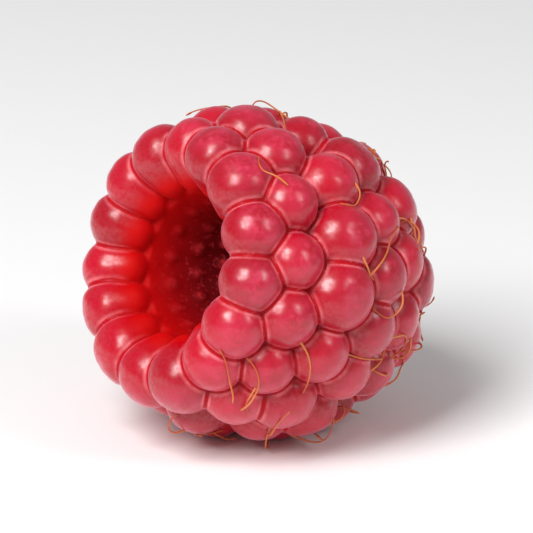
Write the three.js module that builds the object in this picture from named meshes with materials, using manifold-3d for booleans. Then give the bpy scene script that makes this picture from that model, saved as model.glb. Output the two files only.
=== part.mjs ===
// A ripe raspberry as picked: about ninety drupelets grown together round the open hollow that the
// plant's white core left behind. It lies on its side on a flat surface, its mouth towards -Y and
// tipped up, and rests on the drupelets under it, which are pressed a little flat.
//
// Millimetres and degrees, +Z up. The fruit is shaped in its own frame first, with its tip at the
// origin and its mouth towards +Z, and is laid down at the end. Each drupelet is a round head that
// narrows to a foot in the flesh, which is a cup. The heads sit on the crown, a surface through
// their middles, and the feet sit near the wall of the hollow.
import * as THREE from "three";
import { mergeVertices } from "three/addons/utils/BufferGeometryUtils.js";
import Module from "manifold-3d";

const wasm = await Module();
wasm.setup();

// The whole fruit
const BERRY_WIDTH = 22; // across the drupelets at the widest ring
const BERRY_LENGTH = 19.8; // from the tip to the crest of the lip
const WIDEST_AT = 0.62; // share of the length, from the tip, where the fruit is widest
const LIP_TURN = 124; // how far the crown's outline turns from the tip's pole to the lip
const TIP_BLUNTNESS = 0.92; // 1 gives a tip like an ellipse's end, and less a blunter one

// The drupelets
const DRUPELET_PITCH = 3.6; // from the middle of one to the next
const HEAD_RADIUS = 2.12; // over half the pitch, so that neighbours are grown together
const SIZE_SPREAD = 0.07; // how much they differ in size, as a share
const ROW_SHARE = 0.866; // a row's spacing over the pitch, as in close packing
const PLACE_SPREAD = 0.34; // how far they start out of their rows, as a share of the pitch
const LIP_PLACE_SPREAD = 0.12;
const LIP_CROWDING = 2; // how many more the lip has than its pitch asks for
const PRESSING_PASSES = 40;
const PRESSING_SHARE = 0.16; // how much of an overlap one pass takes away
const PRESSING_REACH = 1.08; // the pitch that they press each other towards, over DRUPELET_PITCH
const FOOT_RADIUS = 0.85;
const LIP_FOOT_RADIUS = 1.3;
const SEED = 11;

// The flesh and the hollow that the core left
const FLESH_SETBACK = 0.1; // how far the flesh's outside lies under the crown
const HOLLOW_DEPTH = 13.2; // from the crest of the lip to its closed end
const HOLLOW_MOUTH_RADIUS = 4.6;
const HOLLOW_END_RADIUS = 2.6;
const HOLLOW_MOUTH_DROP = 3; // from the crest down to where the wall starts
const RIDGE_HEIGHT = 0.35; // of the wall's ridges, one below each drupelet of the lip

// How it lies
const LEAN = 18.3; // how far the mouth's axis points above the horizontal
const ROLL = 180; // turn about that axis which brings the resting drupelets underneath
const SETTLE = 0.3; // how much of the lowest drupelets is pressed flat

// Facets
const HEAD_SIDES = 10;
const HEAD_STEPS = 3;
const FLESH_STEPS = 8;

const UP = new THREE.Vector3(0, 0, 1);
const FULL_TURN = 2 * Math.PI;

// Numbers from 0 to 1, the same ones for the same seed.
function seededRandom(seed) {
  let state = seed >>> 0;
  return () => {
    state = (state + 0x6d2b79f5) >>> 0;
    let mixed = Math.imul(state ^ (state >>> 15), state | 1);
    mixed ^= mixed + Math.imul(mixed ^ (mixed >>> 7), mixed | 61);
    return ((mixed ^ (mixed >>> 14)) >>> 0) / 4294967296;
  };
}

// The crown's meridian, as (distance from the axis, height), at a turn from 0 degrees at the tip to
// LIP_TURN at the lip.
function crownOutline(turn) {
  const angle = THREE.MathUtils.degToRad(turn);
  const lipAngle = THREE.MathUtils.degToRad(LIP_TURN);
  const widest = WIDEST_AT * BERRY_LENGTH;
  const tipRise = widest - HEAD_RADIUS;
  const lipRise = (widest + HEAD_RADIUS - BERRY_LENGTH) / Math.cos(lipAngle);
  const rise = turn < 90 ? tipRise : lipRise;
  const narrowing = Math.sin(angle) ** (turn < 90 ? TIP_BLUNTNESS : 1);
  const radius = (BERRY_WIDTH / 2 - HEAD_RADIUS) * narrowing;
  return new THREE.Vector2(radius, widest - rise * Math.cos(angle));
}

// The hollow's wall as a meridian, from 0 on the axis at its round closed end to 1 at its mouth.
function hollowOutline(share) {
  const endHeight = BERRY_LENGTH - HOLLOW_DEPTH + HOLLOW_END_RADIUS;
  const corner = new THREE.Vector2(HOLLOW_END_RADIUS, endHeight);
  const mouth = new THREE.Vector2(HOLLOW_MOUTH_RADIUS, BERRY_LENGTH - HOLLOW_MOUTH_DROP);
  const endLength = (HOLLOW_END_RADIUS * Math.PI) / 2;
  const wallLength = corner.distanceTo(mouth);
  const along = share * (endLength + wallLength);
  if (along > endLength) return corner.lerp(mouth, (along - endLength) / wallLength);
  const angle = along / HOLLOW_END_RADIUS;
  const end = new THREE.Vector2(Math.sin(angle), -Math.cos(angle));
  return end.multiplyScalar(HOLLOW_END_RADIUS).add(new THREE.Vector2(0, endHeight));
}

// The crown's meridian, measured by its own length.
function measureCrown(steps = 600) {
  const points = [];
  for (let i = 0; i <= steps; i++) points.push(crownOutline((LIP_TURN * i) / steps));
  const lengths = [0];
  for (let i = 1; i <= steps; i++) {
    lengths.push(lengths[i - 1] + points[i].distanceTo(points[i - 1]));
  }
  const at = (along) => {
    const target = THREE.MathUtils.clamp(along, 0, lengths[steps]);
    let i = 1;
    while (i < steps && lengths[i] < target) i++;
    const share = (target - lengths[i - 1]) / (lengths[i] - lengths[i - 1]);
    return points[i - 1].clone().lerp(points[i], share);
  };
  return { length: lengths[steps], at };
}

const crown = measureCrown();

function turnedOut(meridianPoint, around) {
  const { x: radius, y: height } = meridianPoint;
  return new THREE.Vector3(radius * Math.cos(around), radius * Math.sin(around), height);
}

// Rows of drupelets from the tip to the lip, each set between those of the row before.
function plantRows(random) {
  const rowCount = Math.round(crown.length / (ROW_SHARE * DRUPELET_PITCH));
  const drupelets = [{ along: 0, around: 0, size: 1, onLip: false }];
  let start = 0;
  for (let row = 1; row <= rowCount; row++) {
    const onLip = row === rowCount;
    const along = (crown.length * row) / rowCount;
    const fitting = Math.round((FULL_TURN * crown.at(along).x) / DRUPELET_PITCH);
    const count = fitting + (onLip ? LIP_CROWDING : 0);
    const spread = onLip ? LIP_PLACE_SPREAD : PLACE_SPREAD;
    start += FULL_TURN / count / 2;
    for (let i = 0; i < count; i++) {
      drupelets.push({
        along: onLip ? along : along + spread * DRUPELET_PITCH * (random() - 0.5),
        around: start + (FULL_TURN / count) * (i + spread * (random() - 0.5)),
        size: 1 + SIZE_SPREAD * (2 * random() - 1),
        onLip,
      });
    }
  }
  return drupelets;
}

// Lets neighbours that sit too close push each other away along the crown. The tip's drupelet
// stays, and the lip's only move round the lip.
function pressEven(drupelets) {
  for (let pass = 0; pass < PRESSING_PASSES; pass++) {
    const places = drupelets.map((d) => turnedOut(crown.at(d.along), d.around));
    const pushes = drupelets.map(() => new THREE.Vector3());
    for (let i = 0; i < drupelets.length; i++) {
      for (let j = i + 1; j < drupelets.length; j++) {
        const size = (drupelets[i].size + drupelets[j].size) / 2;
        const reach = PRESSING_REACH * DRUPELET_PITCH * size;
        const gap = places[i].clone().sub(places[j]);
        const distance = gap.length();
        if (distance >= reach) continue;
        gap.multiplyScalar((PRESSING_SHARE * (reach - distance)) / distance);
        pushes[i].add(gap);
        pushes[j].sub(gap);
      }
    }
    for (let i = 1; i < drupelets.length; i++) {
      const drupelet = drupelets[i];
      const ahead = turnedOut(crown.at(drupelet.along + 0.05), drupelet.around);
      const behind = turnedOut(crown.at(drupelet.along - 0.05), drupelet.around);
      const slope = ahead.sub(behind).normalize();
      const lateral = new THREE.Vector3(-Math.sin(drupelet.around), Math.cos(drupelet.around), 0);
      drupelet.around += pushes[i].dot(lateral) / crown.at(drupelet.along).x;
      if (!drupelet.onLip) drupelet.along += pushes[i].dot(slope);
    }
  }
}

// Where each drupelet's head and foot are, and how big they are.
function layOutDrupelets() {
  const drupelets = plantRows(seededRandom(SEED));
  pressEven(drupelets);
  return drupelets.map(({ along, around, size, onLip }) => {
    const footRadius = onLip ? LIP_FOOT_RADIUS : FOOT_RADIUS;
    const wall = hollowOutline(along / crown.length);
    const towardsHead = crown.at(along).sub(wall).normalize();
    const depth = footRadius + (onLip ? 0 : RIDGE_HEIGHT);
    return {
      head: turnedOut(crown.at(along), around),
      foot: turnedOut(wall.addScaledVector(towardsHead, depth), around),
      headRadius: HEAD_RADIUS * size,
      footRadius,
      around,
      onLip,
    };
  });
}

// A drupelet as a lathed body: a round head, a straight taper and a round foot.
function drupeletGeometry({ head, foot, headRadius, footRadius }) {
  const length = head.distanceTo(foot);
  const headArc = Math.PI - Math.acos((headRadius - footRadius) / length);
  const outline = [new THREE.Vector2(0, length + headRadius)];
  for (let i = 1; i <= HEAD_STEPS; i++) {
    const angle = (headArc * i) / HEAD_STEPS;
    const [out, up] = [headRadius * Math.sin(angle), headRadius * Math.cos(angle)];
    outline.push(new THREE.Vector2(out, length + up));
  }
  outline.push(new THREE.Vector2(Math.sin(headArc), Math.cos(headArc)).multiplyScalar(footRadius));
  outline.push(new THREE.Vector2(0, -footRadius));
  const geometry = new THREE.LatheGeometry(outline.reverse(), HEAD_SIDES);

  const up = head.clone().sub(foot).normalize();
  const side = new THREE.Vector3().crossVectors(up, UP);
  if (side.length() < 1e-3) side.set(1, 0, 0);
  side.normalize();
  const along = new THREE.Vector3().crossVectors(side, up);
  geometry.applyMatrix4(new THREE.Matrix4().makeBasis(side, up, along));
  return geometry.translate(foot.x, foot.y, foot.z);
}

// The flesh that the drupelets' feet are sunk in: a lathed cup with ridges down its inner wall.
function fleshGeometry(lipDrupelets) {
  const outside = [];
  for (let i = 0; i <= FLESH_STEPS; i++) {
    const { x: radius, y: height } = crown.at((crown.length * i) / FLESH_STEPS);
    outside.push(new THREE.Vector2(Math.max(radius - FLESH_SETBACK, 0), height));
  }
  const inside = [];
  for (let i = FLESH_STEPS; i >= 0; i--) inside.push(hollowOutline(i / FLESH_STEPS));
  inside[FLESH_STEPS].x = 0;
  const outline = [...outside, ...inside];

  const sides = 2 * lipDrupelets.length;
  const firstRidge = lipDrupelets[0].around + Math.PI / 2;
  const geometry = new THREE.LatheGeometry(outline, sides, firstRidge).rotateX(Math.PI / 2);
  const points = geometry.getAttribute("position");
  for (let i = 0; i < points.count; i++) {
    const step = (i % outline.length) - outside.length;
    const isRidge = Math.floor(i / outline.length) % 2 === 0;
    if (step < 0 || step === FLESH_STEPS || !isRidge) continue;
    const point = new THREE.Vector3().fromBufferAttribute(points, i);
    const raised = 1 - RIDGE_HEIGHT / Math.hypot(point.x, point.y);
    points.setXY(i, point.x * raised, point.y * raised);
  }
  return geometry;
}

function solidFrom(geometry) {
  const bare = geometry.clone();
  bare.deleteAttribute("normal");
  bare.deleteAttribute("uv");
  const merged = mergeVertices(bare, 1e-3);
  return new wasm.Manifold(
    new wasm.Mesh({
      numProp: 3,
      vertProperties: new Float32Array(merged.getAttribute("position").array),
      triVerts: new Uint32Array(merged.index.array),
    }),
  );
}

function geometryFrom(solid) {
  const { vertProperties, triVerts } = solid.getMesh();
  const geometry = new THREE.BufferGeometry();
  geometry.setAttribute("position", new THREE.BufferAttribute(vertProperties, 3));
  geometry.setIndex(new THREE.BufferAttribute(triVerts, 1));
  return geometry;
}

// The flesh and all its drupelets as one solid, in the fruit's own frame.
function growFruit() {
  const drupelets = layOutDrupelets();
  let fruit = solidFrom(fleshGeometry(drupelets.filter((d) => d.onLip)));
  for (const drupelet of drupelets) fruit = fruit.add(solidFrom(drupeletGeometry(drupelet)));
  return fruit;
}

// The turn that lays the fruit down, and the fruit's box once it lies.
const laying = new THREE.Euler(
  THREE.MathUtils.degToRad(90 - LEAN),
  0,
  THREE.MathUtils.degToRad(ROLL),
);
const layDown = new THREE.Matrix4().makeRotationFromEuler(laying);

function lyingBox(solid) {
  const lying = geometryFrom(solid).applyMatrix4(layDown);
  lying.computeBoundingBox();
  return lying.boundingBox;
}

// Cuts the lowest drupelets flat, where they rest.
function pressFlat(fruit) {
  const thickness = BERRY_WIDTH;
  const surface = new THREE.BoxGeometry(2 * BERRY_WIDTH, 2 * BERRY_WIDTH, thickness);
  surface.translate(0, 0, lyingBox(fruit).min.z + SETTLE - thickness / 2);
  surface.applyMatrix4(layDown.clone().invert());
  return fruit.subtract(solidFrom(surface));
}

const skin = new THREE.MeshStandardMaterial({
  name: "ripe_red_skin",
  color: 0xc22c42,
  roughness: 0.42,
  metalness: 0,
});

const fruit = pressFlat(growFruit());
const berry = new THREE.Mesh(geometryFrom(fruit), skin);
berry.name = "berry";

// The middle of its box stands over the origin, and it rests at height 0.
const box = lyingBox(fruit);
const middle = box.getCenter(new THREE.Vector3());
berry.rotation.copy(laying);
berry.position.set(-middle.x, -middle.y, -box.min.z);

const raspberry = new THREE.Group();
raspberry.name = "raspberry";
raspberry.add(berry);

export default raspberry;
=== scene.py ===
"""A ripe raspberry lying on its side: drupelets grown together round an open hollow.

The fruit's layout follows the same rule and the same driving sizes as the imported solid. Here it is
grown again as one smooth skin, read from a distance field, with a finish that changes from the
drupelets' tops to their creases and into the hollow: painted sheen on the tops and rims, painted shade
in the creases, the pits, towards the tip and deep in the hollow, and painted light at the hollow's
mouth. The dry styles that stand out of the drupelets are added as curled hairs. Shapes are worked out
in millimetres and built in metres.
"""

import logging
import math
from dataclasses import dataclass, field
from enum import Enum
from typing import Callable, Iterable

import bpy
import numpy as np
import openvdb
from mathutils import Matrix, Vector


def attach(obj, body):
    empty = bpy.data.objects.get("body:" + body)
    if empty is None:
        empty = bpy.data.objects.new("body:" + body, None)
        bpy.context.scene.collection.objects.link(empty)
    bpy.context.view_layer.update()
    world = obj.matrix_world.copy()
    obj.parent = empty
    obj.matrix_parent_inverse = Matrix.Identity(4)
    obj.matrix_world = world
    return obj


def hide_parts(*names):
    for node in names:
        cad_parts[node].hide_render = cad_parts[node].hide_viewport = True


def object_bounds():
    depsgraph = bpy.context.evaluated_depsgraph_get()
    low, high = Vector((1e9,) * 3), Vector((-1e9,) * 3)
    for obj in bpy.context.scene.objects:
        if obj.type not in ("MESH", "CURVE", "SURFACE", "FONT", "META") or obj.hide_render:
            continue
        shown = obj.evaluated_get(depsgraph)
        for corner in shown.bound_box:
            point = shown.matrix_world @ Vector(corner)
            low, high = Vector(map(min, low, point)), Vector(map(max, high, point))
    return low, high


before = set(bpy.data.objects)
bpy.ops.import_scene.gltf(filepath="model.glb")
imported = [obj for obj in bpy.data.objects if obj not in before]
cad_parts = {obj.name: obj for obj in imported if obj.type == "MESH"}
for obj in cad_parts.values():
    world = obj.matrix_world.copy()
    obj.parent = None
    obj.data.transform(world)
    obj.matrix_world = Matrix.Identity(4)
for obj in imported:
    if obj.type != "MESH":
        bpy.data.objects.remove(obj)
LOG = logging.getLogger("raspberry")
MM = 0.001
CAD_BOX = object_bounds()
Array = np.ndarray
Colour = tuple[float, float, float, float]
Band = tuple[float, float]
Node = bpy.types.Node
Output = bpy.types.NodeSocket


def smoothstep(low: float, high: float, value: Array) -> Array:
    """Eases from 0 at low to 1 at high."""
    t = np.clip((value - low) / (high - low), 0.0, 1.0)
    return t * t * (3.0 - 2.0 * t)


def smooth_min(a: Array, b: Array, rounding: float) -> Array:
    """The lower of two distances, with the edge between them rounded in."""
    h = np.clip(0.5 + 0.5 * (b - a) / rounding, 0.0, 1.0)
    return b + (a - b) * h - rounding * h * (1.0 - h)


def unit(vectors: Array) -> Array:
    """The same directions at length 1."""
    return vectors / np.maximum(np.linalg.norm(vectors, axis=-1, keepdims=True), 1e-9)


def seeded_random(seed: int) -> Callable[[], float]:
    """Makes a source of random numbers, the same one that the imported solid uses.

    Args:
        seed: A whole number. The same seed gives the same numbers.

    Returns:
        A function that gives the next number from 0 to 1.
    """
    word = 0xFFFFFFFF
    state = seed & word

    def imul(a: int, b: int) -> int:
        """Multiplies two 32-bit words."""
        return (a * b) & word

    def draw() -> float:
        """Gives the next number."""
        nonlocal state
        state = (state + 0x6D2B79F5) & word
        mixed = imul(state ^ (state >> 15), state | 1)
        mixed ^= (mixed + imul(mixed ^ (mixed >> 7), mixed | 61)) & word
        return (mixed ^ (mixed >> 14)) / 4294967296

    return draw


@dataclass(frozen=True)
class Outline:
    """A meridian of the fruit, measured by its own length.

    Args:
        points: Its points as (distance from the axis, height), in millimetres.
    """

    points: Array

    @property
    def lengths(self) -> Array:
        """The length of the meridian up to each point."""
        steps = np.linalg.norm(np.diff(self.points, axis=0), axis=1)
        return np.concatenate([[0.0], np.cumsum(steps)])

    @property
    def length(self) -> float:
        """The whole length."""
        return float(self.lengths[-1])

    def at(self, along: float) -> Array:
        """Finds a point of the meridian.

        Args:
            along: A length from the meridian's start.

        Returns:
            The point as (distance from the axis, height).
        """
        lengths = self.lengths
        target = min(max(along, 0.0), lengths[-1])
        return np.array([np.interp(target, lengths, self.points[:, axis]) for axis in (0, 1)])

    def distance(self, places: Array) -> Array:
        """Distances from places in the meridian's plane.

        Args:
            places: An array of (distance from the axis, height).

        Returns:
            The distance from each place to the nearest point of the meridian.
        """
        best = np.full(len(places), 1e9)
        for start, end in zip(self.points[:-1], self.points[1:]):
            along = end - start
            share = np.clip((places - start) @ along / max(along @ along, 1e-12), 0.0, 1.0)
            best = np.minimum(best, np.linalg.norm(places - start - share[:, None] * along, axis=1))
        return best


def enclosed(places: Array, ring: Array) -> Array:
    """Which places lie inside a closed ring.

    Args:
        places: Points in the ring's plane, one a row.
        ring: The ring's corners, with the first not repeated.

    Returns:
        One truth value a place.
    """
    inside = np.zeros(len(places), bool)
    for (x0, y0), (x1, y1) in zip(ring, np.roll(ring, -1, axis=0)):
        if y0 == y1:
            continue
        crosses = (y0 > places[:, 1]) != (y1 > places[:, 1])
        inside ^= crosses & (places[:, 0] < x0 + (places[:, 1] - y0) * (x1 - x0) / (y1 - y0))
    return inside


def turned_out(meridian_point: Array, around: float) -> Array:
    """A meridian's point as a place in the fruit's own frame."""
    radius, height = meridian_point
    return np.array([radius * math.cos(around), radius * math.sin(around), height])


@dataclass
class Drupelet:
    """One drupelet: a round head that narrows to a foot near the hollow's wall.

    Its place is given along the crown, from the tip, and around the axis in radians. Its size is a
    share of the usual one.
    """

    along: float
    around: float
    size: float
    on_lip: bool
    head: Array = field(default_factory=lambda: np.zeros(3))
    foot: Array = field(default_factory=lambda: np.zeros(3))
    head_radius: float = 0.0
    foot_radius: float = 0.0


@dataclass
class Fruit:
    """The fruit's layout and its distance field.

    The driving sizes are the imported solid's, in millimetres and degrees, in the fruit's own frame:
    its tip at the origin, its mouth up. The methods take points in millimetres where the fruit lies.
    """

    # The whole fruit
    width: float = 22.0
    length: float = 19.8
    widest_at: float = 0.62
    lip_turn: float = 124.0
    tip_bluntness: float = 0.92
    # The drupelets
    pitch: float = 3.6
    head_radius: float = 2.12
    size_spread: float = 0.07
    row_share: float = 0.866
    place_spread: float = 0.34
    lip_place_spread: float = 0.12
    lip_crowding: int = 2
    pressing_passes: int = 40
    pressing_share: float = 0.16
    pressing_reach: float = 1.08
    pressing_probe: float = 0.05
    foot_radius: float = 0.85
    deep_foot_radius: float = 0.55
    lip_foot_radius: float = 1.3
    foot_proud: float = 0.13
    deep_foot_proud: float = 0.3
    deepness_at_tip: float = 1.35
    deepness_fall: float = 1.8
    seed: int = 11
    # The flesh and the hollow
    flesh_setback: float = 0.1
    hollow_depth: float = 13.2
    hollow_mouth_radius: float = 4.6
    hollow_end_radius: float = 2.6
    hollow_mouth_drop: float = 3.0
    # How it lies
    lean: float = 18.3
    roll: float = 180.0
    # How the skin departs from the solid: how deep it settles, and its drupelets' heads and tops
    settle: float = 0.41
    head_growth: float = 0.008
    head_shift: float = 0.25
    head_shift_limit: float = 0.42
    head_sinking: float = 0.3
    head_spread: float = 0.075
    lip_variation: float = 0.4
    top: float = 2.15
    top_spread: float = 0.12
    top_rounding: float = 0.3
    crease_rounding: float = 0.14
    rest_rounding: float = 0.12
    # The meridians and the tables of distances, and how the outside gives way to the hollow
    crown_points: int = 601
    crown_thinning: int = 20
    wall_points: int = 61
    wall_thinning: int = 2
    past_axis: float = -0.1
    table_step: float = 0.08
    table_radius: float = 13.0
    table_low: float = -2.0
    table_high: float = 22.0
    inside_from: float = -1.4
    inside_to: float = 1.2

    def __post_init__(self) -> None:
        """Grows the layout and lays it down."""
        turns = np.linspace(0, self.lip_turn, self.crown_points)
        shares = np.linspace(0, 1, self.wall_points)
        self.crown = Outline(np.array([self._crown_point(turn) for turn in turns]))
        self.wall = Outline(np.array([self._wall_point(share) for share in shares]))
        self.drupelets = self._plant_rows(seeded_random(self.seed))
        self._press_even()
        self._give_bodies()
        self._vary()
        self._lay_down()
        self._tabulate()

    def _crown_point(self, turn: float) -> tuple[float, float]:
        """The meridian through the heads' middles.

        Args:
            turn: A turn from the tip in degrees.

        Returns:
            Its distance from the axis, and its height.
        """
        angle = math.radians(turn)
        widest = self.widest_at * self.length
        lip_rise = (widest + self.head_radius - self.length) / math.cos(math.radians(self.lip_turn))
        rise = widest - self.head_radius if turn < 90 else lip_rise
        narrowing = max(math.sin(angle), 0.0) ** (self.tip_bluntness if turn < 90 else 1.0)
        return (self.width / 2 - self.head_radius) * narrowing, widest - rise * math.cos(angle)

    def _wall_point(self, share: float) -> tuple[float, float]:
        """The meridian of the hollow's wall.

        Args:
            share: From 0 at its closed end to 1 at its mouth.

        Returns:
            Its distance from the axis, and its height.
        """
        end = self.hollow_end_radius
        end_height = self.length - self.hollow_depth + end
        corner = np.array([end, end_height])
        mouth = np.array([self.hollow_mouth_radius, self.length - self.hollow_mouth_drop])
        end_length = end * math.pi / 2
        wall_length = float(np.linalg.norm(mouth - corner))
        along = share * (end_length + wall_length)
        if along > end_length:
            place = corner + (mouth - corner) * (along - end_length) / wall_length
            return float(place[0]), float(place[1])
        angle = along / end
        return end * math.sin(angle), end_height - end * math.cos(angle)

    def _plant_rows(self, draw: Callable[[], float]) -> list[Drupelet]:
        """Plants rows from the tip to the lip, each set between those of the row before.

        Args:
            draw: The source of random numbers.

        Returns:
            The drupelets, with no bodies yet.
        """
        rows = round(self.crown.length / (self.row_share * self.pitch))
        drupelets = [Drupelet(0.0, 0.0, 1.0, False)]
        start = 0.0
        for row in range(1, rows + 1):
            on_lip = row == rows
            along = self.crown.length * row / rows
            count = round(math.tau * self.crown.at(along)[0] / self.pitch)
            count += self.lip_crowding if on_lip else 0
            spread = self.lip_place_spread if on_lip else self.place_spread
            start += math.tau / count / 2
            for i in range(count):
                place = along if on_lip else along + spread * self.pitch * (draw() - 0.5)
                around = start + math.tau / count * (i + spread * (draw() - 0.5))
                size = 1 + self.size_spread * (2 * draw() - 1)
                drupelets.append(Drupelet(place, around, size, on_lip))
        return drupelets

    def _on_crown(self, drupelet: Drupelet, further: float = 0.0) -> Array:
        """A drupelet's place on the crown, or a place further along it."""
        return turned_out(self.crown.at(drupelet.along + further), drupelet.around)

    def _press_even(self) -> None:
        """Lets neighbours that sit too close push each other away along the crown."""
        sizes = np.array([d.size for d in self.drupelets])
        reach = self.pressing_reach * self.pitch * (sizes[:, None] + sizes[None, :]) / 2
        for _ in range(self.pressing_passes):
            places = np.array([self._on_crown(d) for d in self.drupelets])
            gaps = places[:, None] - places[None, :]
            distances = np.linalg.norm(gaps, axis=2)
            np.fill_diagonal(distances, 1e9)
            share = np.where(distances < reach, self.pressing_share * (reach - distances) / distances, 0)
            pushes = (gaps * share[:, :, None]).sum(axis=1)
            for drupelet, push in zip(self.drupelets[1:], pushes[1:]):
                slope = self._on_crown(drupelet, self.pressing_probe)
                slope = slope - self._on_crown(drupelet, -self.pressing_probe)
                slope = slope / np.linalg.norm(slope)
                lateral = np.array([-math.sin(drupelet.around), math.cos(drupelet.around), 0.0])
                drupelet.around += float(push @ lateral) / self.crown.at(drupelet.along)[0]
                if not drupelet.on_lip:
                    drupelet.along += float(push @ slope)

    def _give_bodies(self) -> None:
        """Gives each drupelet its head and foot in the fruit's own frame."""
        for d in self.drupelets:
            deepness = self.deepness_at_tip - self.deepness_fall * d.along / self.crown.length
            deepness = min(max(deepness, 0.0), 1.0)
            slim = self.foot_radius + (self.deep_foot_radius - self.foot_radius) * deepness
            d.foot_radius = self.lip_foot_radius if d.on_lip else slim
            d.head_radius = (self.head_radius + self.head_growth) * d.size
            wall = self.wall.at(d.along / self.crown.length * self.wall.length)
            crown = self.crown.at(d.along)
            outwards = (crown - wall) / np.linalg.norm(crown - wall)
            proud = self.foot_proud + (self.deep_foot_proud - self.foot_proud) * deepness
            depth = d.foot_radius - (0.0 if d.on_lip else proud)
            d.head = turned_out(crown, d.around)
            d.foot = turned_out(wall + outwards * depth, d.around)

    def _vary(self) -> None:
        """Shifts, sinks and resizes the heads a little, so that no two are alike."""
        draw = np.random.default_rng(self.seed + 2)
        for d in self.drupelets:
            up = unit(d.head - d.foot)
            share = self.lip_variation if d.on_lip else 1.0
            sideways = np.cross(up, draw.normal(size=3)) * self.head_shift * share
            shift = max(float(np.linalg.norm(sideways)), 1e-9)
            sideways *= min(1.0, self.head_shift_limit / shift)
            d.head = d.head + sideways - up * self.head_sinking * share * draw.uniform(0, 1)
            d.head_radius *= 1 + self.head_spread * share * draw.uniform(-1, 1)

    def _lay_down(self) -> None:
        """Turns the fruit on its side and sets its lowest drupelets on height 0."""
        tilt = Matrix.Rotation(math.radians(90 - self.lean), 3, "X")
        turn = Matrix.Rotation(math.radians(self.roll), 3, "Z")
        self.rotation = np.array(tilt @ turn)
        for d in self.drupelets:
            d.head = self.rotation @ d.head
            d.foot = self.rotation @ d.foot
        planned = [self.rotation @ self._on_crown(d) for d in self.drupelets]
        reach = [self.head_radius * d.size for d in self.drupelets]
        low = np.min([place - r for place, r in zip(planned, reach)], axis=0)
        high = np.max([place + r for place, r in zip(planned, reach)], axis=0)
        middle = (low + high) / 2
        self.offset = np.array([-middle[0], -middle[1], -low[2] - self.settle])
        for d in self.drupelets:
            d.head += self.offset
            d.foot += self.offset
        self.heads = np.array([d.head for d in self.drupelets])
        self.feet = np.array([d.foot for d in self.drupelets])
        self.head_radii = np.array([d.head_radius for d in self.drupelets])
        self.foot_radii = np.array([d.foot_radius for d in self.drupelets])
        draw = np.random.default_rng(self.seed)
        self.tops = self.top - self.top_spread * draw.uniform(0, 1, len(self.drupelets))

    def _cone_distance(self, places: Array, number: int | Array) -> Array:
        """Distances to drupelets, as plain cones with two round ends.

        Args:
            places: Points, along the last axis.
            number: The drupelet's number, or one for each place.

        Returns:
            Signed distances, negative inside.
        """
        head, foot = self.heads[number], self.feet[number]
        head_radius, foot_radius = self.head_radii[number], self.foot_radii[number]
        ba = foot - head
        narrowing = head_radius - foot_radius
        l2 = (ba * ba).sum(axis=-1)
        a2 = l2 - narrowing * narrowing
        pa = places - head
        y = (pa * ba).sum(axis=-1)
        z = y - l2
        off_axis = pa * l2[..., None] - ba * y[..., None]
        x2 = (off_axis * off_axis).sum(axis=-1)
        y2 = y * y * l2
        z2 = z * z * l2
        k = np.sign(narrowing) * narrowing * narrowing * x2
        side = (np.sqrt(x2 * a2 / l2) + y * narrowing) / l2 - head_radius
        past_foot = np.sqrt(x2 + z2) / l2 - foot_radius
        past_head = np.sqrt(x2 + y2) / l2 - head_radius
        result = np.where(np.sign(y) * a2 * y2 < k, past_head, side)
        return np.where(np.sign(z) * a2 * z2 > k, past_foot, result)

    def body_distance(self, places: Array, number: int | Array) -> Array:
        """Signed distances to drupelets, with their tops pressed a little flat."""
        past_top = self._read(self.top_table, places) - self.tops[number]
        return -smooth_min(-self._cone_distance(places, number), -past_top, self.top_rounding)

    def own_frame(self, places: Array) -> Array:
        """Places where the fruit lies, turned back into its own frame."""
        return (places - self.offset) @ self.rotation

    def _tabulate(self) -> None:
        """Tabulates distances in the meridian's plane, for quick reading."""
        radii = np.arange(0, self.table_radius, self.table_step)
        heights = np.arange(self.table_low, self.table_high, self.table_step)
        grid = np.stack(np.meshgrid(radii, heights, indexing="ij"), -1).reshape(-1, 2)
        shape = (len(radii), len(heights))
        crown = self.crown.points[:: self.crown_thinning]
        outer = crown - np.array([self.flesh_setback, 0.0])
        outer[:, 0] = np.maximum(outer[:, 0], 0.0)
        ring = np.concatenate([outer, self.wall.points[:: -self.wall_thinning]])
        distance = Outline(np.concatenate([ring, ring[:1]])).distance(grid)
        self.flesh_table = np.where(enclosed(grid, ring), -distance, distance).reshape(shape)
        top = np.concatenate([crown, [[self.past_axis, crown[-1, 1]]]])
        body = np.concatenate([top, [[self.past_axis, crown[0, 1]]]])
        distance = Outline(top).distance(grid)
        self.top_table = np.where(enclosed(grid, body), -distance, distance).reshape(shape)
        self.to_crown = Outline(crown).distance(grid).reshape(shape)
        wall = Outline(self.wall.points[:: self.wall_thinning])
        self.to_wall = wall.distance(grid).reshape(shape)

    def _read(self, table: Array, places: Array) -> Array:
        """Reads a table of the meridian's plane, evened out between its entries.

        Args:
            table: Values by distance from the axis and by height.
            places: Points in millimetres where the fruit lies, along the last axis.

        Returns:
            One value a place.
        """
        own = self.own_frame(places)
        across = np.hypot(own[..., 0], own[..., 1]) / self.table_step
        up = (own[..., 2] - self.table_low) / self.table_step
        across = np.clip(across, 0, table.shape[0] - 1.001)
        up = np.clip(up, 0, table.shape[1] - 1.001)
        i, j = across.astype(int), up.astype(int)
        u, v = across - i, up - j
        low = table[i, j] * (1 - u) + table[i + 1, j] * u
        high = table[i, j + 1] * (1 - u) + table[i + 1, j + 1] * u
        return low * (1 - v) + high * v

    def flesh(self, places: Array) -> Array:
        """Signed distances to the cup of flesh between the crown and the hollow."""
        return self._read(self.flesh_table, places)

    def hollow_share(self, places: Array) -> Array:
        """From 0 on the fruit's outside to 1 on the hollow's wall."""
        nearness = self._read(self.to_crown, places) - self._read(self.to_wall, places)
        return smoothstep(self.inside_from, self.inside_to, nearness)

    def gap(self, places: Array, near: Array, rank: int = 1) -> Array:
        """How much nearer a place is to its own drupelet than to the next, or the one of a rank."""
        distances = np.sort(self._cone_distance(places[:, None, :], near), axis=1)
        return distances[:, rank] - distances[:, 0]

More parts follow.
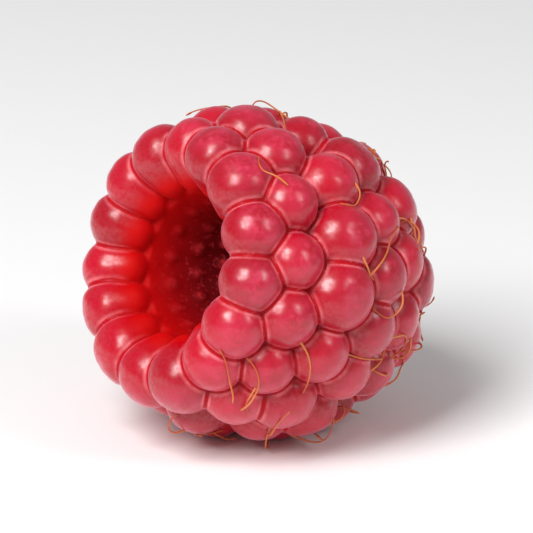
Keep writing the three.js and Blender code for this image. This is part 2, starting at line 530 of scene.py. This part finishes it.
    def nearest(self, places: Array, count: int = 5) -> Array:
        """The numbers of the drupelets nearest to each place.

        Args:
            places: Points, one a row.
            count: How many to find for each.

        Returns:
            One row of numbers for each place, in no order.
        """
        numbers = range(len(self.heads))
        distances = np.stack([self._cone_distance(places, number) for number in numbers], axis=1)
        return np.argpartition(distances, count, axis=1)[:, :count]

    def distance(self, places: Array, near: Array) -> Array:
        """Signed distances to the whole fruit, creases rounded and resting flats cut.

        Args:
            places: Points, one a row.
            near: The numbers of each point's nearest drupelets.

        Returns:
            One distance a place.
        """
        distances = np.sort(self.body_distance(places[:, None, :], near), axis=1)
        result = self.flesh(places)
        for i in range(near.shape[1] - 1, -1, -1):
            result = smooth_min(result, distances[:, i], self.crease_rounding)
        return -smooth_min(-result, places[:, 2], self.rest_rounding)

    def normals(self, places: Array, near: Array, step: float = 0.03) -> Array:
        """Outward unit directions of the distance field, read a step apart."""
        return unit(self.slope(self.distance, places, near, step))

    @staticmethod
    def slope(
        measure: Callable[[Array, Array], Array], places: Array, near: Array, step: float
    ) -> Array:
        """The direction in which a measure of places and their nearest drupelets grows fastest."""
        corners = np.array([[1, -1, -1], [-1, -1, 1], [-1, 1, -1], [1, 1, 1]]) * step
        return sum(c * measure(places + c, near)[:, None] for c in corners) / (4 * step * step)


def add_object(name: str, data: bpy.types.ID) -> bpy.types.Object:
    """Adds a mesh, a lamp or a camera to the scene as an object."""
    piece = bpy.data.objects.new(name, data)
    bpy.context.scene.collection.objects.link(piece)
    return piece


def smooth_mesh(
    name: str, vertices: Array, faces: list[Iterable[int]], masks: dict[str, Array]
) -> bpy.types.Mesh:
    """Makes a smooth mesh with masks for its material to read.

    Args:
        name: The mesh's name.
        vertices: Its vertices in millimetres.
        faces: The vertex numbers of each face.
        masks: One value a vertex, by the mask's name.

    Returns:
        The new mesh, in metres.
    """
    mesh = bpy.data.meshes.new(name)
    mesh.from_pydata((vertices * MM).tolist(), [], faces)
    mesh.polygons.foreach_set("use_smooth", np.ones(len(faces), bool))
    for mask, values in masks.items():
        attribute = mesh.attributes.new(mask, "FLOAT", "POINT")
        attribute.data.foreach_set("value", values.astype(np.float32))
    mesh.update()
    mesh.validate()
    return mesh


@dataclass
class Skin:
    """The fruit's fine skin: a mesh read from its distance field, dressed with masks."""

    fruit: Fruit
    # The grid, and how often its surface is moved onto the field
    voxel: float = 0.173
    quick_voxel: float = 0.3
    margin: float = 0.7
    far: float = 4.0
    settling_passes: int = 2
    # The unevenness: rates in radians a millimetre with their shares, and where it fades out
    waviness: float = 0.065
    waves: tuple[Band, ...] = ((1.1, 0.7), (2.9, 0.3))
    waves_each: int = 4
    still_gap: float = 0.9
    still_height: Band = (0.05, 0.6)
    # Painted shade: how much darker the drupelets turn towards the tip
    tip_shade: float = 0.28
    name: str = "fruit_skin"

    def __post_init__(self) -> None:
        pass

    def _grid(self) -> tuple[Array, Array]:
        """Fills a grid with the distance field.

        Returns:
            The grid's lowest corner and its distances.
        """
        fruit = self.fruit
        low = np.min([d.head - d.head_radius for d in fruit.drupelets], axis=0) - self.margin
        high = np.max([d.head + d.head_radius for d in fruit.drupelets], axis=0) + self.margin
        low[2] = -self.margin
        shape = np.ceil((high - low) / self.voxel).astype(int) + 1
        axes = [low[a] + self.voxel * np.arange(shape[a]) for a in range(3)]
        places = np.stack(np.meshgrid(*axes, indexing="ij"), -1)
        values = np.minimum(fruit.flesh(places.reshape(-1, 3)), self.far).reshape(places.shape[:-1])
        for number, d in enumerate(fruit.drupelets):
            middles = np.array([d.head, d.foot])
            reach = np.array([[d.head_radius], [d.foot_radius]]) + self.margin
            first = np.floor(((middles - reach).min(axis=0) - low) / self.voxel)
            last = np.ceil(((middles + reach).max(axis=0) - low) / self.voxel)
            box = tuple(slice(max(int(a), 0), int(b) + 1) for a, b in zip(first, last))
            near = fruit.body_distance(places[box], number)
            values[box] = smooth_min(values[box], near, fruit.crease_rounding)
        return low, -smooth_min(-values, places[..., 2], fruit.rest_rounding)

    def _surface(self) -> tuple[Array, Array, Array]:
        """Reads the surface from the grid and settles it on the field.

        Returns:
            Vertices in millimetres, quads as rows of four vertex numbers, and the numbers of the
            drupelets nearest to each vertex.
        """
        low, values = self._grid()
        grid = openvdb.FloatGrid(background=self.far)
        grid.copyFromArray(values.astype(np.float32))
        points, quads = grid.convertToQuads(isovalue=0.0)
        vertices = points.astype(float) * self.voxel + low
        vertices, quads = self._largest_body(vertices, quads.astype(int))
        near = self.fruit.nearest(vertices)
        for _ in range(self.settling_passes):
            towards = self.fruit.normals(vertices, near)
            off = self.fruit.distance(vertices, near)
            vertices = vertices - towards * np.clip(off, -self.voxel, self.voxel)[:, None]
        return vertices, quads, near

    @staticmethod
    def _largest_body(vertices: Array, quads: Array) -> tuple[Array, Array]:
        """Keeps the largest connected body of a quad mesh.

        Args:
            vertices: The mesh's vertices.
            quads: Rows of four vertex numbers.

        Returns:
            The vertices and quads of that body.
        """
        label = np.arange(len(vertices))
        edges = np.concatenate([quads[:, [i, (i + 1) % 4]] for i in range(4)])
        while True:
            lowest = np.minimum(label[edges[:, 0]], label[edges[:, 1]])
            spread = label.copy()
            np.minimum.at(spread, edges[:, 0], lowest)
            np.minimum.at(spread, edges[:, 1], lowest)
            spread = spread[spread]
            if np.array_equal(spread, label):
                break
            label = spread
        names, counts = np.unique(label, return_counts=True)
        keep = label == names[np.argmax(counts)]
        renumber = np.cumsum(keep) - 1
        return vertices[keep], renumber[quads[keep[quads[:, 0]]]]

    def _tones(self) -> Array:
        """Draws each drupelet's tone at random, with painted shade making it a little darker towards the
        tip.

        Returns:
            One value a drupelet, from 0 to 1.
        """
        draw = np.random.default_rng(self.fruit.seed + 1)
        from_tip = np.array([d.along for d in self.fruit.drupelets]) / self.fruit.crown.length
        tones = draw.uniform(0, 1, len(from_tip))
        return (1 - self.tip_shade) * tones + self.tip_shade * from_tip

    def _wander(self, vertices: Array, nearest: Array) -> Array:
        """A smooth unevenness, different on each drupelet.

        Args:
            vertices: Points on the skin in millimetres.
            nearest: The number of each point's own drupelet.

        Returns:
            One value a point, from -1 to 1.
        """
        draw = np.random.default_rng(self.fruit.seed)
        total = np.zeros(len(vertices))
        for rate, share in self.waves:
            waves = draw.normal(size=(self.waves_each, 3)) * rate
            phases = draw.uniform(0, math.tau, size=(len(self.fruit.drupelets), self.waves_each))
            for i, wave in enumerate(waves):
                total += share / self.waves_each * np.sin(vertices @ wave + phases[nearest, i])
        return total

    def build(self) -> bpy.types.Object:
        """Builds the skin's mesh, with its masks as attributes.

        Returns:
            The new object.
        """
        fruit = self.fruit
        vertices, quads, near = self._surface()
        distances = fruit.body_distance(vertices[:, None, :], near)
        nearest = near[np.arange(len(near)), distances.argmin(axis=1)]
        gap, pit_gap = fruit.gap(vertices, near), fruit.gap(vertices, near, 2)
        away = smoothstep(0.0, self.still_gap, gap)
        wander = self._wander(vertices, nearest) * self.waviness * away
        lifted = smoothstep(*self.still_height, vertices[:, 2])
        vertices = vertices + fruit.normals(vertices, near) * (wander * lifted)[:, None]
        vertices[:, 2] = np.maximum(vertices[:, 2], 0.0)

        up = unit(fruit.heads - fruit.feet)
        from_head = unit(vertices - fruit.heads[nearest])
        masks = {
            "crease_gap": gap,
            "pit_gap": pit_gap,
            "top_share": np.einsum("ij,ij->i", from_head, up[nearest]),
            "hollow_share": fruit.hollow_share(vertices),
            "hollow_depth": fruit.length - fruit.own_frame(vertices)[:, 2],
            "wall_relief": fruit.flesh(vertices),
            "tone": self._tones()[nearest],
        }
        piece = add_object(self.name, smooth_mesh(self.name, vertices, quads.tolist(), masks))
        LOG.info("%s: %d quads", self.name, len(quads))
        return piece


@dataclass
class Styles:
    """The dry styles: a curved hair or two from the side of most drupelets.

    Args:
        fruit: The fruit that they grow on.
        limits: The lowest and highest corner that they stay between, in millimetres.
    """

    fruit: Fruit
    limits: tuple[Array, Array]
    # Which drupelets carry hairs
    seed: int = 5
    tries: int = 6
    near_lip: float = 0.8
    near_lip_share: float = 0.6
    twin_share: float = 0.3
    lowest: float = 0.3
    highest: float = 0.7
    # A hair's own shape
    base_radius: float = 0.07
    end_radius: float = 0.04
    knob_radius: float = 0.07
    steps: int = 18
    sides: int = 6
    shortest: float = 2.4
    longest: float = 5.2
    # How a hair leaves its drupelet and runs over the others
    tilt: Band = (0.35, 0.95)
    root_sink: float = 0.03
    root_depth: float = 0.12
    rise: float = 0.35
    curl: float = 0.06
    drift: float = 0.008
    hover: float = 0.1
    pull: float = 0.5
    crease_pull: float = 0.09
    crease_reach: Band = (0.2, 1.0)
    crease_step: float = 0.05
    clearance: float = 0.06
    smoothing: int = 5
    name: str = "styles"

    def _paths(self, draw: np.random.Generator) -> Array:
        """The middle lines of all the hairs, from their roots in the skin.

        Args:
            draw: The source of random numbers.

        Returns:
            Points in millimetres, by hair and by step.
        """
        fruit = self.fruit
        count = len(fruit.heads)
        up = unit(fruit.heads - fruit.feet)
        side = unit(np.cross(up, draw.normal(size=(count, 3))))
        tilt = draw.uniform(*self.tilt, (count, 1))
        out = up * np.cos(tilt) + side * np.sin(tilt)
        place = fruit.heads + out * (fruit.head_radii[:, None] - self.root_sink)
        across = np.cross(up, side) * draw.uniform(-1.0, 1.0, (count, 1))
        way = unit(side + across + out * self.rise)
        curl = draw.normal(size=(count, 1)) * self.curl
        drift = draw.normal(size=(count, 1)) * self.drift
        step = draw.uniform(self.shortest, self.longest, (count, 1)) / self.steps
        points = [place - out * self.root_depth, place]
        for _ in range(self.steps):
            near = fruit.nearest(place)
            normal = fruit.normals(place, near)
            height = fruit.distance(place, near)[:, None]
            way = way * np.cos(curl) + np.cross(normal, way) * np.sin(curl)
            off_crease = smoothstep(*self.crease_reach, fruit.gap(place, near)[:, None])
            to_crease = -fruit.slope(fruit.gap, place, near, self.crease_step)
            way = way + to_crease * self.crease_pull * off_crease
            way = unit(way + normal * (self.hover - height) * self.pull)
            curl = curl + drift
            place = place + way * step
            height = fruit.distance(place, near)[:, None]
            place = place + fruit.normals(place, near) * np.maximum(self.clearance - height, 0.0)
            points.append(place)
        paths = np.stack(points, axis=1)
        for _ in range(self.smoothing):
            paths[:, 2:-1] = (paths[:, 1:-2] + 2 * paths[:, 2:-1] + paths[:, 3:]) / 4
        return paths

    def _fits(self, path: Array) -> bool:
        """Whether a path stays inside the limits, above the floor and close to the skin."""
        low, high = self.limits[0] + self.knob_radius, self.limits[1] - self.knob_radius
        inside = (path > low).all() and (path < high).all() and path[:, 2].min() > self.lowest
        return bool(inside) and self.fruit.distance(path, self.fruit.nearest(path)).max() < self.highest

    def _chosen(self) -> list[Array]:
        """Chooses the paths that become hairs: none on the lip, fewer near it, at most two a drupelet.

        Returns:
            The middle line of each hair.
        """
        draw = np.random.default_rng(self.seed)
        tries = [self._paths(draw) for _ in range(self.tries)]
        chosen: list[Array] = []
        for number, drupelet in enumerate(self.fruit.drupelets):
            near_lip = drupelet.along > self.near_lip * self.fruit.crown.length
            if drupelet.on_lip or (near_lip and draw.uniform() > self.near_lip_share):
                continue
            fitting = [paths[number] for paths in tries if self._fits(paths[number])]
            chosen += fitting[: 2 if draw.uniform() < self.twin_share else 1]
        return chosen

    def _rings(self, path: Array) -> Array:
        """The vertices of a tube along a path, thinning to a small knob.

        Args:
            path: The hair's middle line, from its root.

        Returns:
            One ring of vertices after another.
        """
        radii = np.linspace(self.base_radius, self.end_radius, len(path))
        radii[0] = self.end_radius / 2
        radii[-2:] = self.knob_radius, self.knob_radius / 2
        ways = unit(np.gradient(path, axis=0))
        askew = np.array([0.3, 0.5, 0.8])
        across = np.cross(ways[0], askew)
        angles = np.linspace(0, math.tau, self.sides, endpoint=False)[:, None]
        rings = []
        for place, way, radius in zip(path, ways, radii):
            across = unit(across - way * (across @ way))
            rings.append(place + radius * (np.cos(angles) * across + np.sin(angles) * np.cross(way, across)))
        return np.concatenate(rings)

    def _walls(self, start: int, rings: int) -> list[tuple[int, ...]]:
        """The faces of one closed tube.

        Args:
            start: The number of its first vertex.
            rings: How many rings it has.

        Returns:
            The vertex numbers of each face, the two round ends last.
        """
        turns = [range(start + i * self.sides, start + (i + 1) * self.sides) for i in range(rings)]
        faces: list[tuple[int, ...]] = []
        for lower, upper in zip(turns[:-1], turns[1:]):
            for j in range(self.sides):
                k = (j + 1) % self.sides
                faces.append((lower[j], lower[k], upper[k], upper[j]))
        return faces + [tuple(reversed(turns[0])), tuple(turns[-1])]

    def build(self) -> bpy.types.Object:
        """Builds all the styles as one mesh.

        Returns:
            The new object.
        """
        paths = self._chosen()
        rings = self.steps + 2
        vertices = np.concatenate([self._rings(path) for path in paths])
        faces = [face for i in range(len(paths)) for face in self._walls(i * rings * self.sides, rings)]
        along = np.tile(np.repeat(np.linspace(0, 1, rings), self.sides), len(paths))
        piece = add_object(self.name, smooth_mesh(self.name, vertices, faces, {"along": along}))
        LOG.info("%s: %d hairs", self.name, len(paths))
        return piece


def linear(red: int, green: int, blue: int) -> Colour:
    """Turns a colour given in 8-bit sRGB into a shader's linear colour.

    Args:
        red: From 0 to 255.
        green: From 0 to 255.
        blue: From 0 to 255.

    Returns:
        The linear colour, opaque.
    """

    def channel(value: int) -> float:
        """One channel's linear value."""
        share = value / 255
        return share / 12.92 if share <= 0.04045 else ((share + 0.055) / 1.055) ** 2.4

    return channel(red), channel(green), channel(blue), 1.0


class Socket(Enum):
    """The kinds of socket that the shader groups use."""

    VALUE = "NodeSocketFloat"
    VECTOR = "NodeSocketVector"


@dataclass
class Tree:
    """A short way to write node trees."""

    tree: bpy.types.NodeTree

    def add(self, kind: str, inputs: dict[object, object] | None = None, **settings: object) -> Node:
        """Adds a node.

        Args:
            kind: The node's type.
            inputs: Values or output sockets, by input name or number.
            settings: The node's own properties.

        Returns:
            The new node.
        """
        node = self.tree.nodes.new(kind)
        for name, value in settings.items():
            setattr(node, name, value)
        for key, value in (inputs or {}).items():
            self.set(node.inputs[key], value)
        return node

    def set(self, socket: Output, value: object) -> None:
        """Gives an input a value, or links an output to it.

        Args:
            socket: The input.
            value: A value or an output.
        """
        if isinstance(value, Output):
            self.tree.links.new(value, socket)
        else:
            socket.default_value = value

    def mask(self, name: str) -> Output:
        """A vertex mask's value."""
        return self.add("ShaderNodeAttribute", attribute_name=name).outputs["Fac"]

    def math(self, operation: str, *values: object) -> Output:
        """The result of an operation on two or three values."""
        return self.add("ShaderNodeMath", dict(enumerate(values)), operation=operation).outputs[0]

    def times(self, first: object, second: object) -> Output:
        """The product of two values."""
        return self.math("MULTIPLY", first, second)

    def ease(
        self, value: object, low: float, high: float, start: float = 0.0, end: float = 1.0
    ) -> Output:
        """Eases a value from start at low to end at high."""
        inputs = {"Value": value, "From Min": low, "From Max": high, "To Min": start, "To Max": end}
        return self.add("ShaderNodeMapRange", inputs, interpolation_type="SMOOTHSTEP").outputs["Result"]

    def mix(self, share: object, first: object, second: object) -> Output:
        """Mixes two colours."""
        return self.add("ShaderNodeMix", {0: share, 6: first, 7: second}, data_type="RGBA").outputs[2]

    def noise(self, scale: object, detail: float, roughness: float) -> Output:
        """Cloudy noise over the piece's own coordinates."""
        place = self.add("ShaderNodeTexCoord").outputs["Object"]
        inputs = {"Vector": place, "Scale": scale, "Detail": detail, "Roughness": roughness}
        return self.add("ShaderNodeTexNoise", inputs).outputs["Fac"]

    def grain(self, group: bpy.types.NodeTree, scale: float, depth: float) -> Output:
        """The normal from the group of fine unevenness."""
        return self.add("ShaderNodeGroup", {"Scale": scale, "Depth": depth}, node_tree=group).outputs[0]

    def shade(self, inputs: dict[object, object]) -> None:
        """Ends a material with its shader."""
        shader = self.add("ShaderNodeBsdfPrincipled", inputs)
        self.add("ShaderNodeOutputMaterial", {"Surface": shader.outputs["BSDF"]})


def new_group(name: str, inputs: dict[str, float], outputs: dict[str, Socket]) -> tuple[Tree, Node, Node]:
    """Makes an empty shader group with named sockets.

    Args:
        name: The group's name.
        inputs: The standing value of each input, by its label.
        outputs: The kind of each output, by its label.

    Returns:
        The group's tree, its input node and its output node.
    """
    group = bpy.data.node_groups.new(name, "ShaderNodeTree")
    for label, value in inputs.items():
        socket = group.interface.new_socket(label, in_out="INPUT", socket_type=Socket.VALUE.value)
        socket.default_value = value
    for label, kind in outputs.items():
        group.interface.new_socket(label, in_out="OUTPUT", socket_type=kind.value)
    tree = Tree(group)
    return tree, tree.add("NodeGroupInput"), tree.add("NodeGroupOutput")


def new_material(name: str) -> tuple[bpy.types.Material, Tree]:
    """Makes an empty material.

    Args:
        name: The material's name.

    Returns:
        The material, and its tree ready for writing.
    """
    material = bpy.data.materials.new(name)
    material.use_nodes = True
    material.node_tree.nodes.clear()
    return material, Tree(material.node_tree)


def mottle_group() -> bpy.types.NodeTree:
    """Clouded patches of two sizes, used wherever the plant's surface varies.

    Returns:
        A group with a Coarse and a Fine value from 0 to 1.
    """
    inputs = {"Coarse Scale": 300.0, "Fine Scale": 1500.0}
    outputs = {"Coarse": Socket.VALUE, "Fine": Socket.VALUE}
    tree, start, end = new_group("mottle", inputs, outputs)
    for label in outputs:
        noise = tree.noise(start.outputs[label + " Scale"], detail=4.0, roughness=0.6)
        tree.set(end.inputs[label], tree.ease(noise, 0.3, 0.7))
    return tree.tree


def grain_group(distance: float = 0.00004) -> bpy.types.NodeTree:
    """A fine uneven surface, used under every finish.

    Args:
        distance: How high the grain stands at full depth, in metres.

    Returns:
        A group that puts out a bumped Normal.
    """
    tree, start, end = new_group("grain", {"Scale": 4000.0, "Depth": 0.2}, {"Normal": Socket.VECTOR})
    noise = tree.noise(start.outputs["Scale"], detail=3.0, roughness=0.55)
    inputs = {"Height": noise, "Strength": start.outputs["Depth"], "Distance": distance}
    tree.set(end.inputs["Normal"], tree.add("ShaderNodeBump", inputs).outputs["Normal"])
    return tree.tree


@dataclass(frozen=True)
class SkinFinish:
    """The fruit's skin: satin and translucent, with painted sheen of its pale down on each drupelet's top
    and towards its rim, and painted shade in the creases, the pits, towards the tip and deep in the hollow.

    A band is the two values of a mask between which an effect comes in or fades out. Gaps, reliefs
    and depths are in millimetres.
    """

    # Colours
    ripe: Colour = linear(194, 0, 38)
    deep: Colour = linear(150, 0, 24)
    # Painted sheen: the pale veil laid in patches on each drupelet's top
    pale: Colour = linear(212, 48, 88)
    speck: Colour = linear(226, 92, 118)
    # Painted sheen: the pale line of down seen edge-on, just short of each crease
    rim: Colour = linear(240, 138, 146)
    # Painted shade: dark red where three drupelets meet
    pit_shade: Colour = linear(136, 0, 8)
    # Painted shade: a darker red in the creases
    crease: Colour = linear(182, 2, 18)
    # Painted light at the hollow's mouth, fading to painted shade deeper in
    hollow_lit: Colour = linear(196, 0, 2)
    hollow_deep_shade: Colour = linear(98, 0, 6)
    hollow_mark: Colour = linear(190, 44, 52)
    # Painted sheen: the down's pale velvet, strongest where the surface turns from the view
    velvet_sheen: Colour = linear(244, 142, 168)
    sheen: Colour = linear(255, 190, 190)
    # Bands
    top_band: Band = (0.35, 1.0)
    speck_band: Band = (0.35, 0.95)
    rim_rise: Band = (0.12, 0.24)
    rim_fall: Band = (0.24, 0.5)
    crease_band: Band = (0.08, 0.23)
    pit_band: Band = (0.05, 0.8)
    hollow_band: Band = (1.4, 7.5)
    relief_band: Band = (0.03, 0.2)
    fleck_band: Band = (0.7, 1.0)
    fine_band: Band = (0.1, 0.9)
    down_sheen_band: Band = (0.55, 1.0)
    rim_sheen_band: Band = (0.78, 0.96)
    gloss_band: Band = (0.1, 0.6)
    # Strengths
    sheen_cloud_share: float = 0.56
    speck_share: float = 0.3
    rim_shares: Band = (0.5, 0.2)
    pit_shade_share: float = 0.5
    least_mark: float = 0.3
    fleck_share: float = 0.55
    down_sheen_share: float = 0.3
    rim_sheen_share: float = 0.26
    least_gloss: float = 0.5
    crease_gloss: float = 0.15
    # Patches, roughness and grain
    patch_scales: Band = (900.0, 3300.0)
    roughness: Band = (0.27, 0.38)
    crease_roughness: float = 0.7
    hollow_roughness: float = 0.62
    grain_scale: float = 5200.0
    grain_depth: float = 0.25

    def _outside(self, tree: Tree, coarse: Output, fine: Output, crease: Output) -> Output:
        """Mixes the colour of the drupelets' outside.

        Args:
            tree: The material's tree.
            coarse: The large patches.
            fine: The small patches.
            crease: The mask of the creases.

        Returns:
            The colour.
        """
        gap = tree.mask("crease_gap")
        # The drupelets' tones: at random, with painted shade towards the tip
        body = tree.mix(tree.mask("tone"), self.deep, self.ripe)
        on_top = tree.ease(tree.mask("top_share"), *self.top_band)
        # Painted sheen: each drupelet's top turns pale in patches, standing in for the down's bloom and the
        # soft highlight
        body = tree.mix(tree.times(on_top, tree.times(coarse, self.sheen_cloud_share)), body, self.pale)
        specks = tree.ease(fine, *self.speck_band, 0.0, self.speck_share)
        body = tree.mix(tree.times(on_top, specks), body, self.speck)
        # Painted sheen: a pale line along each drupelet's rim, just short of the crease
        rim = tree.times(tree.ease(gap, *self.rim_rise), tree.ease(gap, *self.rim_fall, 1.0, 0.0))
        rim = tree.times(rim, tree.math("MULTIPLY_ADD", coarse, *self.rim_shares))
        # Painted shade: the creases turn a darker red
        body = tree.mix(crease, tree.mix(rim, body, self.rim), self.crease)
        # Painted shade: the junctions of three drupelets turn dark red
        pit_shade = tree.ease(tree.mask("pit_gap"), *self.pit_band, self.pit_shade_share, 0.0)
        body = tree.mix(pit_shade, body, self.pit_shade)
        # Painted sheen: the down's pale velvet, mixed in as the surface turns from the view
        edge = tree.add("ShaderNodeLayerWeight", {"Blend": 0.5}).outputs["Facing"]
        down = tree.ease(edge, *self.down_sheen_band, 0.0, self.down_sheen_share)
        down = tree.math("ADD", down, tree.ease(edge, *self.rim_sheen_band, 0.0, self.rim_sheen_share))
        return tree.mix(down, body, self.velvet_sheen)

    def _wall(self, tree: Tree, fine: Output) -> Output:
        """Mixes the colour of the hollow's wall, with painted light near its mouth and painted shade deeper
        in.

        Args:
            tree: The material's tree.
            fine: The small patches.

        Returns:
            The colour.
        """
        # Painted light near the mouth, painted shade with depth
        depth = tree.ease(tree.mask("hollow_depth"), *self.hollow_band)
        wall = tree.mix(depth, self.hollow_lit, self.hollow_deep_shade)
        raised = tree.ease(tree.mask("wall_relief"), *self.relief_band)
        mark = tree.times(raised, tree.ease(fine, *self.fine_band, self.least_mark, 1.0))
        mark = tree.math("MAXIMUM", mark, tree.ease(fine, *self.fleck_band, 0.0, self.fleck_share))
        return tree.mix(tree.times(mark, depth), wall, self.hollow_mark)

    def material(self, mottle: bpy.types.NodeTree, grain: bpy.types.NodeTree) -> bpy.types.Material:
        """Builds the skin's material.

        Args:
            mottle: The group of clouded patches.
            grain: The group of fine unevenness.

        Returns:
            The new material.
        """
        material, tree = new_material("drupelet_skin")
        scales = dict(zip(("Coarse Scale", "Fine Scale"), self.patch_scales))
        patches = tree.add("ShaderNodeGroup", scales, node_tree=mottle)
        coarse, fine = patches.outputs["Coarse"], patches.outputs["Fine"]
        gap, inside = tree.mask("crease_gap"), tree.mask("hollow_share")
        # The crease mask: it makes the creases rougher and carries their painted shade
        crease = tree.ease(gap, *self.crease_band, 1.0, 0.0)
        outside = self._outside(tree, coarse, fine, crease)

        roughness = tree.ease(fine, 0.0, 1.0, *self.roughness)
        roughness = tree.math("MAXIMUM", roughness, tree.times(crease, self.crease_roughness))
        roughness = tree.math("MAXIMUM", roughness, tree.times(inside, self.hollow_roughness))
        gloss = tree.ease(fine, *self.fine_band, 1.0, self.least_gloss)
        gloss = tree.times(gloss, tree.math("SUBTRACT", 1.0, inside))
        gloss = tree.times(gloss, tree.ease(gap, *self.gloss_band, self.crease_gloss, 1.0))
        tree.shade({
            "Base Color": tree.mix(inside, outside, self._wall(tree, fine)),
            "Roughness": roughness,
            "Normal": tree.grain(grain, self.grain_scale, self.grain_depth),
            "Subsurface Weight": 0.6,
            "Subsurface Radius": (1.0, 0.14, 0.12),
            "Subsurface Scale": 0.0009,
            "Specular IOR Level": 0.12,
            "Coat Weight": gloss,
            "Coat Roughness": 0.3,
            "Coat IOR": 1.6,
            "Sheen Weight": 0.05,
            "Sheen Roughness": 0.2,
            "Sheen Tint": self.sheen,
        })
        return material


@dataclass(frozen=True)
class StyleFinish:
    """The dry hairs: amber at the root, browner towards the knob."""

    root: Colour = linear(214, 132, 66)
    end: Colour = linear(184, 88, 36)
    stain: Colour = linear(200, 84, 58)
    along_band: Band = (0.1, 1.0)
    stain_share: float = 0.5
    roughness: Band = (0.42, 0.6)
    grain_scale: float = 9000.0
    grain_depth: float = 0.3

    def material(self, mottle: bpy.types.NodeTree, grain: bpy.types.NodeTree) -> bpy.types.Material:
        """Builds the hairs' material.

        Args:
            mottle: The group of clouded patches.
            grain: The group of fine unevenness.

        Returns:
            The new material.
        """
        material, tree = new_material("styles")
        patches = tree.add("ShaderNodeGroup", node_tree=mottle)
        colour = tree.mix(tree.ease(tree.mask("along"), *self.along_band), self.root, self.end)
        stained = tree.times(patches.outputs["Coarse"], self.stain_share)
        tree.shade({
            "Base Color": tree.mix(stained, colour, self.stain),
            "Roughness": tree.ease(patches.outputs["Fine"], 0.0, 1.0, *self.roughness),
            "Normal": tree.grain(grain, self.grain_scale, self.grain_depth),
            "Subsurface Weight": 0.2,
            "Subsurface Radius": (1.0, 0.5, 0.2),
            "Subsurface Scale": 0.0002,
        })
        return material


@dataclass(frozen=True)
class SoftBox:
    """A soft box that faces the fruit.

    Args:
        name: The lamp's name.
        turn: Its turn from the camera, round the fruit, in degrees.
        elevation: Its angle above the floor in degrees.
        size: Its width and height in metres.
        power: Its power in watts.
    """

    name: str
    turn: float
    elevation: float
    size: Band
    power: float


@dataclass
class Studio:
    """A pale floor, soft boxes and a long lens at the photograph's angle."""

    azimuth: float = 55.7
    elevation: float = 20.0
    lens: float = 300.0
    sensor: float = 36.0
    clip: Band = (0.01, 20.0)
    frame_share: float = 0.64
    aim_height: float = 0.0106
    floor_radius: float = 2.0
    floor_sides: int = 96
    floor_drop: float = 0.00002
    floor_tone: float = 0.94
    room_light: float = 0.26
    box_distance: float = 0.34
    boxes: tuple[SoftBox, ...] = (
        SoftBox("left_box", turn=-38, elevation=48, size=(0.15, 0.2), power=1.3),
        SoftBox("right_box", turn=60, elevation=36, size=(0.05, 0.14), power=0.24),
    )

    def _floor(self) -> None:
        """Lays the floor, a wide disc just under the fruit."""
        mesh = bpy.data.meshes.new("floor")
        angles = [math.tau * i / self.floor_sides for i in range(self.floor_sides)]
        rim = [(self.floor_radius * math.cos(a), self.floor_radius * math.sin(a), 0.0) for a in angles]
        mesh.from_pydata(rim, [], [tuple(range(self.floor_sides))])
        floor = add_object("floor", mesh)
        floor.location.z = -self.floor_drop
        material, tree = new_material("floor")
        tone = (self.floor_tone,) * 3 + (1.0,)
        tree.shade({"Base Color": tone, "Roughness": 0.9, "Specular IOR Level": 0.1})
        mesh.materials.append(material)

    def _face(self, piece: bpy.types.Object, turn: float, elevation: float, distance: float) -> None:
        """Sets a lamp or camera round the fruit, facing it.

        Args:
            piece: The lamp or the camera.
            turn: Its turn from the camera's azimuth in degrees.
            elevation: Its angle above the floor in degrees.
            distance: From the fruit, in metres.
        """
        a, e = math.radians(self.azimuth + turn), math.radians(elevation)
        away = Vector((math.sin(a) * math.cos(e), -math.cos(a) * math.cos(e), math.sin(e)))
        piece.location = Vector((0, 0, self.aim_height)) + away * distance
        piece.rotation_euler = (-away).to_track_quat("-Z", "Y").to_euler()

    def _lamp(self, box: SoftBox) -> None:
        """Hangs a soft box.

        Args:
            box: Its place, size and power.
        """
        data = bpy.data.lights.new(box.name, "AREA")
        data.shape = "RECTANGLE"
        data.size, data.size_y = box.size
        data.energy = box.power
        self._face(add_object(box.name, data), box.turn, box.elevation, self.box_distance)

    def _camera(self, width: float) -> None:
        """Sets the camera so that the fruit fills its share of the frame.

        Args:
            width: The fruit's width in metres.
        """
        data = bpy.data.cameras.new("camera")
        data.lens = self.lens
        data.sensor_width = self.sensor
        data.clip_start, data.clip_end = self.clip
        camera = add_object("camera", data)
        self._face(camera, 0.0, self.elevation, width / self.frame_share * self.lens / self.sensor)
        bpy.context.scene.camera = camera

    def _world(self) -> None:
        """Gives the room an even pale light."""
        world = bpy.data.worlds.new("room")
        world.use_nodes = True
        background = world.node_tree.nodes["Background"]
        background.inputs["Color"].default_value = (1.0, 1.0, 1.0, 1.0)
        background.inputs["Strength"].default_value = self.room_light
        bpy.context.scene.world = world

    def build(self, width: float) -> None:
        """Builds the floor, the light and the camera.

        Args:
            width: The fruit's width in metres, which sets the framing.
        """
        self._floor()
        self._world()
        for box in self.boxes:
            self._lamp(box)
        self._camera(width)
        bpy.context.scene.view_settings.view_transform = "Standard"


def main() -> None:
    """Builds the fruit, dresses it and sets the studio."""
    logging.basicConfig(level=logging.INFO, format="%(name)s: %(message)s")
    fruit = Fruit()
    mottle, grain = mottle_group(), grain_group()

    skin = Skin(fruit).build()
    skin.data.materials.append(SkinFinish().material(mottle, grain))
    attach(skin, "root")
    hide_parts("berry")

    low, high = CAD_BOX
    styles = Styles(fruit, (np.array(low) / MM, np.array(high) / MM)).build()
    styles.data.materials.append(StyleFinish().material(mottle, grain))
    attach(styles, "root")

    Studio().build((high - low).x)


if __name__ == "__main__":
    main()
